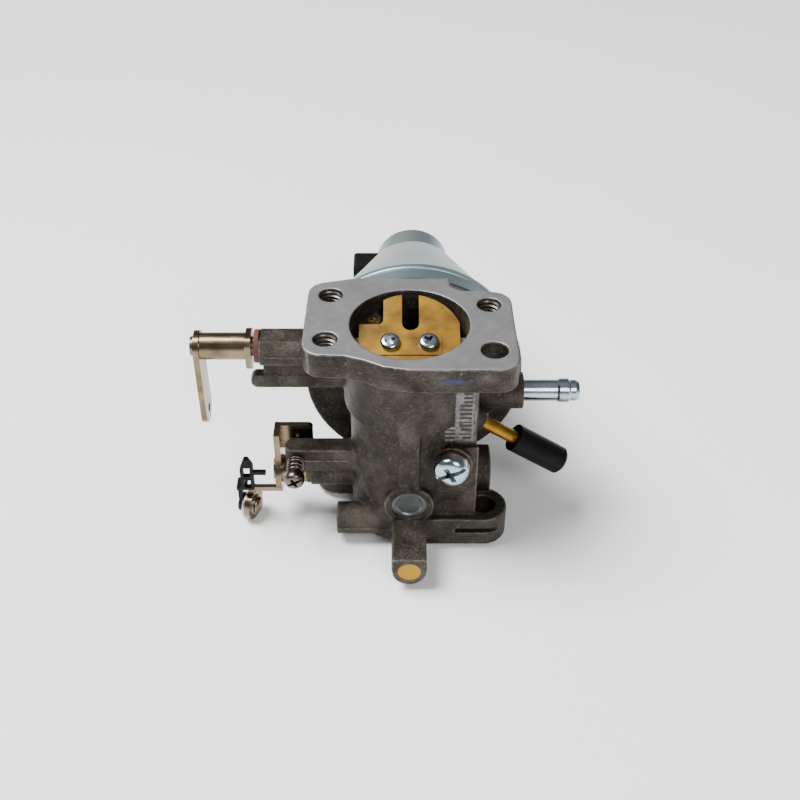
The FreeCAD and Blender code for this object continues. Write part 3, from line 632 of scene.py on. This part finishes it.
def wound_spring(name, low, high, radius, wire, turns):
    """A coil along -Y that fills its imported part's length."""
    centre = (low + high) / 2
    shape = bmesh.new()
    coil(shape, at((centre.x, high.y, centre.z), (0, -1, 0)), radius, wire, high.y - low.y, turns)
    spring = mesh_object(name, shape, None)
    spring.data.shade_smooth()
    return spring


def springs():
    low, high = box("idle_speed_spring")
    wire = 0.34 * MM
    spring = wound_spring("idle_speed_spring_coil", low, high, 2.4 * MM - wire, wire, 4.1)
    paint(spring, "steel")
    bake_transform(spring)
    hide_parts("idle_speed_spring")

    low, high = box("idle_mixture_spring")
    spring = wound_spring("idle_mixture_spring_coil", low, high, 2.15 * MM, 0.4 * MM, 6.5)
    show(spring, "steel", "root", "idle_mixture_spring")


def hole_threads():
    """The threads of the three tapped holes in the air-cleaner flange."""
    top = FACE_HEIGHT - 0.35 * MM
    depth = 6.6 * MM
    overrun = 0.2 * MM
    sunk = 0.05 * MM
    height = 0.55 * MM
    pitch = 1.0 * MM
    for number in (1, 2, 3):
        facts = mount("air_cleaner_hole_%d" % number)
        x, y = facts["pos_m"][:2]
        radius = facts["dims"]["r_mm"] * MM
        shape = bmesh.new()
        thread(shape, at((x, y, 0)), radius + sunk, radius - height, pitch, top - depth, top + overrun)
        ridge = mesh_object("flange_thread_%d" % number, shape, 20)
        show(ridge, "thread_metal", "root")


# ---------------------------------------------------------------- marks on the casting
LABEL_TOP = 54.2 * MM
LABEL_FOOT = 33.4 * MM
LABEL_FACE = -12.5 * MM
LABEL_LEFT_TOP = 7.7 * MM
LABEL_LEFT_FOOT = 6.2 * MM
LABEL_RIGHT = 16.9 * MM
LABEL_CORNERS = [(LABEL_LEFT_FOOT, LABEL_FOOT), (LABEL_RIGHT, LABEL_FOOT), (LABEL_RIGHT, LABEL_TOP),
                 (LABEL_LEFT_TOP, LABEL_TOP)]
FIELD_PROUD = 0.09 * MM
RIM_WIDTH = 0.45 * MM
RIM_PROUD = 0.28 * MM
BAR_PITCH = 1.3 * MM
BAR_WIDTH = 3.1 * MM
BAR_PROUD = 0.16 * MM
BAR_MARGIN = 2.4 * MM
FIRST_BAR = 1.4 * MM
BAR_COLUMNS = (0.9 * MM, 5.0 * MM)
BAR_HEIGHTS = (0.35, 0.6, 0.8)
BAR_CUTS = (0, 0, 0.5, 0.9)

# starts and ends of the mould's parting lines on the casting, in mm
PARTING_LINES = (
    ((-36.5, -4.7, 54.7), (-23.0, -4.7, 54.7)),
    ((-32.0, -6.0, 21.1), (-15.4, -6.0, 21.1)),
    ((-19.2, -15.0, 4.6), (-6.0, -15.0, 4.6)),
    ((0, -17.0, 22.6), (0, -17.0, 30.2)),
    ((17.8, -13.0, 10.5), (17.8, -13.0, 32.0)),
    ((-4.5, -30.6, 5.0), (-4.5, -19.0, 5.0)),
    ((4.5, -30.6, 5.0), (4.5, -19.0, 5.0)))
BEAD_RADIUS = 0.16 * MM
BEAD_SIDES = 8

RIVET_START = 1.62 * MM
RIVET_SHANK = 1.8 * MM
RIVET_HEAD = 2.5 * MM
RIVET_LIP = 0.05 * MM
RIVET_DOME = 0.75 * MM
RIVET_SUNK = 0.3 * MM
RIVET_STEPS = 6

INK_FACE = -19.5 * MM
INK_PROUD = 0.035 * MM
INK_SWELL = 0.22
INK_STEPS = 24
# centre x, centre z, half width and half height of each dab, in mm
INK_DABS = ((10.4, 58.6, 3.0, 0.75), (14.6, 58.9, 0.55, 0.5))


def slab(shape, outline, back, front):
    """A thin plate: an outline in (x, z) between two y planes."""
    rings = [[shape.verts.new((x, y, z)) for x, z in outline] for y in (back, front)]
    joined(shape, rings)


def label():
    """The label's field with a raised rim and two columns of plain bars, which say nothing."""
    field = bmesh.new()
    slab(field, LABEL_CORNERS, LABEL_FACE + 0.4 * MM, LABEL_FACE - FIELD_PROUD)
    show(mesh_object("label_field", field), "label_metal", "root")

    rim = bmesh.new()
    for (ax, az), (bx, bz) in zip(LABEL_CORNERS, LABEL_CORNERS[1:] + LABEL_CORNERS[:1]):
        along = Vector((bx - ax, 0, bz - az)).normalized()
        side = Vector((-along.z, 0, along.x)) * RIM_WIDTH
        outline = [(ax, az), (bx, bz), (bx + side.x, bz + side.z), (ax + side.x, az + side.z)]
        slab(rim, outline, LABEL_FACE + 0.3 * MM, LABEL_FACE - RIM_PROUD)
    show(soften(mesh_object("label_rim", rim), 0.1 * MM, 1), "cast_alloy", "root")

    bars = bmesh.new()
    dice = random.Random(7)
    rows = int((LABEL_TOP - LABEL_FOOT - BAR_MARGIN) / BAR_PITCH)
    for offset in BAR_COLUMNS:
        start = LABEL_LEFT_TOP + offset
        for row in range(rows):
            z = LABEL_FOOT + FIRST_BAR + row * BAR_PITCH
            thick = dice.choice(BAR_HEIGHTS) * MM
            left = start + dice.choice(BAR_CUTS) * MM
            right = start + BAR_WIDTH
            slab(bars, [(left, z), (right, z), (right, z + thick), (left, z + thick)],
                 LABEL_FACE + 0.2 * MM, LABEL_FACE - BAR_PROUD)
    show(mesh_object("label_bars", bars), "dark_print", "root")


def bead(shape, start, end, radius):
    """A thin round bead between two points, with rounded ends."""
    matrix = at(start, end - start)
    length = (end - start).length
    profile = [(0, -radius * 0.6), (radius * 0.8, -radius * 0.2), (radius, radius * 0.6),
               (radius, length - radius * 0.6), (radius * 0.8, length + radius * 0.2),
               (0, length + radius * 0.6)]
    lathe(shape, profile, matrix, BEAD_SIDES)


def cast_marks():
    marks = bmesh.new()
    for start, end in PARTING_LINES:
        bead(marks, Vector(start) * MM, Vector(end) * MM, BEAD_RADIUS)
    show(mesh_object("cast_marks", marks, 50), "cast_alloy", "root")


def eye_rivet():
    """The plated, domed end of the clip's pin in the governor eye."""
    facts = joint("link_clip_turn")
    shape = bmesh.new()
    profile = [(0, RIVET_START - RIVET_SUNK), (RIVET_SHANK, RIVET_START - RIVET_SUNK),
               (RIVET_SHANK, RIVET_START)]
    for step in range(RIVET_STEPS + 1):
        angle = math.radians(90) * step / RIVET_STEPS
        profile.append((RIVET_HEAD * math.cos(angle),
                        RIVET_START + RIVET_LIP + RIVET_DOME * math.sin(angle)))
    lathe(shape, profile, at(facts["pos_m"], facts["axis"]))
    show(mesh_object("eye_rivet", shape), "nickel_plate", "link_clip")


def ink_dab():
    """Plain dabs of blue marking ink on the flange's edge."""
    shape = bmesh.new()
    dice = random.Random(3)
    for x, z, wide, tall in INK_DABS:
        outline = []
        for angle in circle(INK_STEPS):
            swell = 1 + INK_SWELL * dice.uniform(-1, 1)
            outline.append((x * MM + wide * MM * swell * math.cos(angle),
                            z * MM + tall * MM * swell * math.sin(angle)))
        slab(shape, outline, INK_FACE + 0.2 * MM, INK_FACE - INK_PROUD)
    show(mesh_object("ink_dab", shape), "blue_ink", "root")


# ---------------------------------------------------------------- float bowl and solenoid trim
RING_SIDES = 12
RING_STEPS = 128


def rounded_ring(name, centre, radius, wire):
    """A rolled bead round the bowl's axis, which is along Y."""
    shape = bmesh.new()
    profile = [(radius + wire * math.cos(a), wire * math.sin(a)) for a in circle(RING_SIDES)]
    lathe(shape, profile, at(centre, (0, 1, 0)), RING_STEPS)
    show(mesh_object(name, shape, 60), "zinc_steel", "root")


def bowl_trim():
    low, high = box("float_bowl")
    centre = (low + high) / 2
    rim = (high.x - low.x) / 2
    can_low, can_high = box("solenoid_body")
    can = (can_high.x - can_low.x) / 2
    # name, place along Y, radius that it is set into, inset and wire radius
    for name, y, radius, inset, wire in (
            ("bowl_rim_roll", low.y + 2.0 * MM, rim, 0.62 * MM, 0.55 * MM),
            ("bowl_bead", low.y + 6.4 * MM, rim, 0.95 * MM, 0.6 * MM),
            ("solenoid_crimp", can_high.y - 1.5 * MM, can, 0.4 * MM, 0.38 * MM),
            ("solenoid_seam", can_high.y - 7.6 * MM, can, 0.3 * MM, 0.28 * MM)):
        rounded_ring(name, (centre.x, y, centre.z), radius - inset, wire)


def connector_blade():
    """The brass tab in the solenoid's housing, with a tapered nose and a hole."""
    low, high = box("solenoid_connector")
    middle = (low + high) / 2
    y = middle.y + 0.1 * MM
    tip = low.x + 0.3 * MM
    root = tip + 2.6 * MM
    half_width = 1.5 * MM
    half_nose = half_width * 0.55
    half_thick = 0.3 * MM
    nose = 0.7 * MM
    hole_place = 1.35 * MM
    hole_radius = 0.42 * MM
    shape = bmesh.new()
    slab(shape, [(root, -half_width), (root, half_width), (tip + nose, half_width), (tip, half_nose),
                 (tip, -half_nose), (tip + nose, -half_width)], -half_thick, half_thick)
    shape.transform(Matrix.Translation((0, y, middle.z)) @ Matrix.Rotation(math.radians(90), 4, "X"))
    blade = mesh_object("connector_blade", shape)
    tool = bmesh.new()
    lathe(tool, [(0, -MM), (hole_radius, -MM), (hole_radius, MM), (0, MM)],
          at((tip + hole_place, y, middle.z)), 24)
    carve(blade, [mesh_object("tool", tool, None)])
    show(soften(blade, 0.08 * MM), "brass", "root")


# ---------------------------------------------------------------- light and camera
# sizes and places below are in metres
FLOOR_REACH = 3.0
FLOOR_GAP = 0.1 * MM
LIT_POINT = (0, 0, 0.03)
# the sky's brightness, from the horizon (0) to straight up (1); below the horizon it is as at 0
SKY = ((0.0, 1.0), (0.10, 1.0), (0.20, 0.24), (0.60, 0.14), (0.85, 0.22), (1.0, 0.3))


def build_stage():
    shape = bmesh.new()
    shape.faces.new([shape.verts.new((x * FLOOR_REACH, y * FLOOR_REACH, LOW.z - FLOOR_GAP))
                     for x, y in ((-1, -1), (1, -1), (1, 1), (-1, 1))])
    floor = mesh_object("floor", shape, None)
    shade = Shader("floor_white", specular=0.2)
    shade.colour(shade.ramp(shade.noise(6), (0.3, (0.93, 0.93, 0.93)), (0.7, (0.95, 0.95, 0.95))))
    shade.gloss(shade.span(shade.noise(40), 0.7, 0.8))
    floor.data.materials.append(shade.material)
    floor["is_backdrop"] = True


def add_to_scene(name, data):
    obj = bpy.data.objects.new(name, data)
    bpy.context.scene.collection.objects.link(obj)
    return obj


def area_light(name, place, size, power):
    """A round soft light that faces the lit point."""
    data = bpy.data.lights.new(name, "AREA")
    data.shape = "DISK"
    data.size = size
    data.energy = power
    obj = add_to_scene(name, data)
    obj.location = place
    obj.rotation_euler = (Vector(LIT_POINT) - Vector(place)).to_track_quat("-Z", "Y").to_euler()


def sun_light(direction, strength, spread):
    """A broad sun; the spread is in degrees."""
    data = bpy.data.lights.new("sun", "SUN")
    data.energy = strength
    data.angle = math.radians(spread)
    obj = add_to_scene("sun", data)
    obj.rotation_euler = Vector(direction).to_track_quat("-Z", "Y").to_euler()


def sky():
    """Soft light that is bright at and below the horizon and dim above it."""
    world = bpy.data.worlds.new("studio")
    bpy.context.scene.world = world
    world.use_nodes = True
    tree = world.node_tree
    place = tree.nodes.new("ShaderNodeTexCoord")
    split = tree.nodes.new("ShaderNodeSeparateXYZ")
    band = tree.nodes.new("ShaderNodeValToRGB")
    while len(band.color_ramp.elements) < len(SKY):
        band.color_ramp.elements.new(0.5)
    for element, (position, level) in zip(band.color_ramp.elements, SKY):
        element.position = position
        element.color = (level, level, level, 1)
    tree.links.new(place.outputs["Generated"], split.inputs["Vector"])
    tree.links.new(split.outputs["Z"], band.inputs["Fac"])
    tree.links.new(band.outputs["Color"], tree.nodes["Background"].inputs["Color"])
    tree.nodes["Background"].inputs["Strength"].default_value = 1.0


def camera(place, look_down, lens):
    """A level camera that faces +Y and looks down by an angle in degrees."""
    data = bpy.data.cameras.new("camera")
    data.lens = lens
    data.sensor_width = 36
    obj = add_to_scene("camera", data)
    obj.location = place
    obj.rotation_euler = (math.radians(90 - look_down), 0, 0)
    bpy.context.scene.camera = obj


paint_cad_nodes()
casting()
plate_screws("choke_plate_screws", CHOKE_AT, CHOKE_TILT, head_radius=2.6 * MM, under_head=1.3 * MM,
             body="choke", turns=(0.3, 0.9))
plate_screws("throttle_plate_screws", THROTTLE_AT, THROTTLE_TILT, head_radius=2.5 * MM,
             under_head=1.0 * MM, body="throttle", turns=(0.6, 0.1))
idle_screw()
passage_screw()
springs()
hole_threads()
label()
cast_marks()
eye_rivet()
ink_dab()
bowl_trim()
connector_blade()
build_stage()
sun_light(direction=(0.42, -0.10, -0.9), strength=3.6, spread=30)
area_light("key", place=(-0.30, 0.02, 0.58), size=0.36, power=5.0)
area_light("fill", place=(0.25, -0.55, 0.55), size=0.4, power=3.4)
sky()
camera(place=(-0.0024, -0.2285, 0.2211), look_down=38.8, lens=50)
